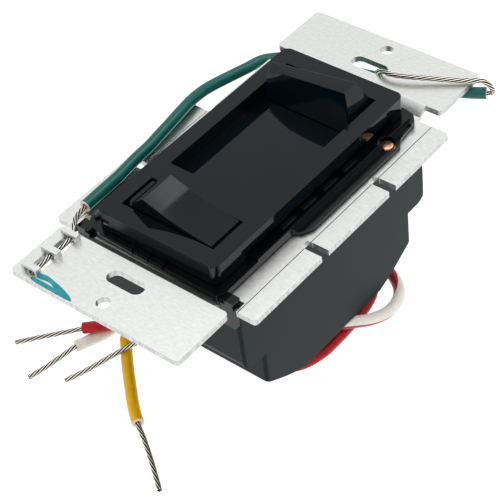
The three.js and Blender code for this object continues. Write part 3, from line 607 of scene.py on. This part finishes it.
# %% [markdown]
# Finishes of the big parts. The yoke is rolled aluminium sheet, bright with a fine mottle drawn out across its
# width, and its sheared edges are darker and rougher. The face, rocker, knob and chassis are black plastic that
# mirrors the sky: the face and the rocker are the most polished, the knob is a little bluer, and the chassis is
# a little duller. The back enclosure is moulded slate-grey plastic with a satin surface.

# %% Finishes of the body
aluminium = finish("rolled_aluminium", (0.83, 0.84, 0.81), (0.93, 0.935, 0.905), (0.26, 0.36), 1900, 0.05,
    0.02, metal=1.0, stretch=(0.45, 1, 1), detail=4)
sheared_edge = finish("sheared_edge", (0.42, 0.44, 0.43), (0.66, 0.67, 0.65), (0.3, 0.5), 1800, 0.25, 0.03,
    metal=1.0, stretch=(1, 1, 0.3))
gloss_black = finish("polished_black", (0.0010, 0.0030, 0.0048), (0.0014, 0.0038, 0.0056), (0.05, 0.075), 90,
    0.02, 0.01, IOR=1.36)
knob_black = finish("knob_black", (0.0012, 0.0040, 0.0064), (0.0018, 0.0050, 0.0074), (0.07, 0.10), 90, 0.02,
    0.01, IOR=1.34)
frame_black = finish("frame_black", (0.0018, 0.0022, 0.0028), (0.0026, 0.003, 0.0036), (0.09, 0.14), 300,
    0.05, 0.01, IOR=1.38)
slate = finish("slate_casing", (0.0030, 0.0085, 0.0100), (0.0050, 0.0110, 0.0125), (0.3, 0.36), 1600, 0.10,
    0.01, IOR=1.45, Specular_IOR_Level=0.12)
copper = finish("copper", (0.75, 0.38, 0.22), (0.95, 0.58, 0.38), (0.2, 0.34), 900, 0.1, metal=1.0)
print("body finishes ready")

# %% [markdown]
# The bevels are as wide as such edges are: cut sheet is nearly sharp, and moulded corners are rounder. The
# knob's and the rocker's slopes meet at shallow angles, so their bevels begin at smaller angles too.

# %% Visible parts
yoke = softened("yoke", 0.12, aluminium, sheared=sheared_edge)
bezel = softened("bezel", 0.22, gloss_black, segments=3)
knob = softened("slide_knob", 0.25, knob_black, angle=14, segments=3)
rocker = softened("rocker", 0.3, gloss_black, angle=24, segments=3)
chassis = softened("chassis", 0.12, frame_black)
casing = softened("back_enclosure", 0.2, slate, segments=3)
for name in ("cover_rivet_right", "cover_rivet_left"):
    softened(name, 0.15, copper)

# %% [markdown]
# The parts inside are never seen in the first view, but a turned or opened model shows them, so each gets the
# finish of its own material. They keep their solids as they are.

# %% Finishes of the inner parts
satin_black = finish("satin_black", (0.004, 0.005, 0.006), (0.007, 0.008, 0.009), (0.2, 0.3), 900, 0.08)
brass = finish("brass", (0.55, 0.38, 0.13), (0.75, 0.55, 0.22), (0.22, 0.35), 800, 0.1, metal=1.0)
steel = finish("steel", (0.42, 0.42, 0.42), (0.6, 0.6, 0.59), (0.22, 0.36), 900, 0.1, metal=1.0)
fibre = finish("fibre_board", (0.03, 0.13, 0.05), (0.05, 0.19, 0.08), (0.4, 0.55), 1500, 0.15)
resin = finish("moulding_resin", (0.010, 0.010, 0.010), (0.022, 0.021, 0.020), (0.45, 0.6), 2000, 0.2)
pad = finish("thermal_pad", (0.25, 0.32, 0.36), (0.33, 0.40, 0.43), (0.6, 0.75), 1200, 0.2)
ferrite = finish("ferrite", (0.035, 0.038, 0.042), (0.07, 0.07, 0.075), (0.6, 0.8), 1600, 0.3)
film = finish("dipped_film", (0.24, 0.025, 0.015), (0.32, 0.04, 0.025), (0.2, 0.35), 300, 0.2)
ceramic = finish("ceramic", (0.42, 0.28, 0.12), (0.55, 0.36, 0.17), (0.4, 0.55), 1200, 0.15)
wound = finish("enamelled_copper", (0.42, 0.14, 0.05), (0.68, 0.26, 0.10), (0.2, 0.3), 1400, 0.3, metal=0.9,
    stretch=(1, 6, 1))
inner = {
    satin_black: ("slide_carrier", "contact_plunger"),
    brass: ("wiper", "pivot_terminal", "fixed_contact_left", "fixed_contact_right"),
    steel: ("potentiometer_housing", "rocker_axle", "plunger_spring"),
    resin: ("resistive_track", "switch_base", "triac", "diac"),
    copper: ("contact_seesaw", "triac_rivet"),
    wound: ("choke_winding",),
    fibre: ("circuit_board",),
    pad: ("thermal_pad",),
    ferrite: ("choke_core",),
    film: ("film_capacitor_left", "film_capacitor_right"),
    ceramic: ("resistor_gate", "resistor_timing"),
}
print("inner finishes:", len(inner))

# %% [markdown]
# The solids that a finished piece stands for are hidden, but they get the finish of that piece as well, so that
# no solid is left plain.

# %% Finish every solid
finish_of = {name: material for material, names in inner.items() for name in names}
finish_of.update({f"lead_{colour}": material for colour, material in lead_finish.items()})
finish_of.update({name: tinned for name in nodes if "strands" in name})
finish_of.update({"ground_wire": green_vinyl, "yoke": aluminium, "bezel": gloss_black,
    "slide_knob": knob_black, "rocker": gloss_black, "chassis": frame_black, "back_enclosure": slate,
    "cover_rivet_right": copper, "cover_rivet_left": copper})
for name, material in finish_of.items():
    nodes[name].data.materials.clear()
    nodes[name].data.materials.append(material)
print("finished solids:", len(finish_of), "of", len(nodes))

# %% [markdown]
# ## The paint mark
# An inspector's dab of teal paint lies on the corner of the lower ear, two brush strokes that run together. A
# colour in the metal's own finish would lie flat, and paint has a thickness. So each stroke is a thin film: a
# smoothed outline, filled and thickened.

# %% Two strokes of paint
teal = finish("teal_paint", (0.0, 0.20, 0.24), (0.002, 0.34, 0.38), (0.15, 0.3), 600, 0.4, 0.05)
strokes = [
    [(-17.7, -51.6), (-17.0, -51.2), (-14.1, -51.0), (-12.5, -51.0), (-10.5, -51.15), (-8.2, -51.2),
        (-6.1, -51.4), (-5.7, -51.8), (-6.7, -51.98), (-9.3, -52.0), (-13.6, -52.0), (-16.3, -51.95)],
    [(-16.8, -50.4), (-16.9, -49.8), (-15.0, -49.2), (-13.0, -49.5), (-9.3, -50.2), (-6.3, -51.2),
        (-5.8, -51.7), (-8.2, -51.8), (-10.8, -51.2), (-13.2, -50.2), (-14.9, -50.5), (-16.5, -50.7)],
]


def film_of_paint(name, outline, height):
    """The closed outline is smoothed by cutting its corners twice: each side p to q keeps only its points at
    1/4 and 3/4. It is then filled as one face, height millimetres above the front of the ear, and given
    nearly that thickness."""
    loop = np.array(outline)
    for _ in range(2):
        ahead = np.roll(loop, -1, axis=0)
        loop = np.stack([0.75 * loop + 0.25 * ahead, 0.25 * loop + 0.75 * ahead], axis=1).reshape(-1, 2)
    top = np.c_[loop, np.full(len(loop), height)]
    mesh = bpy.data.meshes.new(name)
    mesh.from_pydata((top * MM).tolist(), [], [list(range(len(top)))])
    obj = bpy.data.objects.new(name, mesh)
    scene.collection.objects.link(obj)
    thick = obj.modifiers.new("thickness", "SOLIDIFY")
    thick.thickness = height * 0.9 * MM
    mesh.materials.append(teal)
    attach(obj, "housing")
    return obj


for number, outline in enumerate(strokes):
    film_of_paint(f"paint_stroke_{number + 1}", outline, 0.07 + 0.02 * number)
print("paint strokes:", len(strokes))

# %% [markdown]
# ## Table and light
# The table is pale and matt, and it glows brightly from below, as a light table does, so that it is white all
# over and the shadows under the device stay faint.

# %% Table
TABLE = -44.3 * MM
mesh = bpy.data.meshes.new("table")
mesh.from_pydata([(-2, -2, TABLE), (2, -2, TABLE), (2, 2, TABLE), (-2, 2, TABLE)], [], [(0, 1, 2, 3)])
table = bpy.data.objects.new("table", mesh)
scene.collection.objects.link(table)
mesh.materials.append(finish("white_table", (0.30, 0.30, 0.30), (0.33, 0.33, 0.33), (0.7, 0.8), 30, 0.02,
    Emission_Color=(1, 1, 1, 1), Emission_Strength=0.93))
print("table at", round(TABLE / MM, 1), "mm")

# %% [markdown]
# A pale sky gives most of the light, and the polished face mirrors it. One wide soft box hangs overhead. A
# second, smaller one hangs far back, just where the raised end of the rocker mirrors it towards the camera.

# %% Light
SKY_COLOUR, SKY_STRENGTH = (0.98, 0.99, 1.0, 1), 0.80
world = bpy.data.worlds.new("pale_sky")
scene.world = world
world.use_nodes = True
sky = world.node_tree.nodes["Background"]
sky.inputs["Color"].default_value = SKY_COLOUR
sky.inputs["Strength"].default_value = SKY_STRENGTH


def soft_box(name, place, size, radiance, aim=(0, 0, 0)):
    """A square lamp that looks at aim. Its power is radiance x pi x area."""
    lamp = bpy.data.lights.new(name, "AREA")
    lamp.size = size
    lamp.energy = radiance * math.pi * size ** 2
    obj = bpy.data.objects.new(name, lamp)
    scene.collection.objects.link(obj)
    obj.location = place
    obj.rotation_euler = (Vector(place) - Vector(aim)).to_track_quat("Z", "Y").to_euler()
    return obj


soft_box("overhead", (0, 0, 1.1), size=1.2, radiance=1.0)
soft_box("far_light", (0.18, 0.74, 1.1), size=0.62, radiance=2.4, aim=(0.18, 0.74, 0))
scene.view_settings.view_transform = "Standard"
print("light ready")

# %% [markdown]
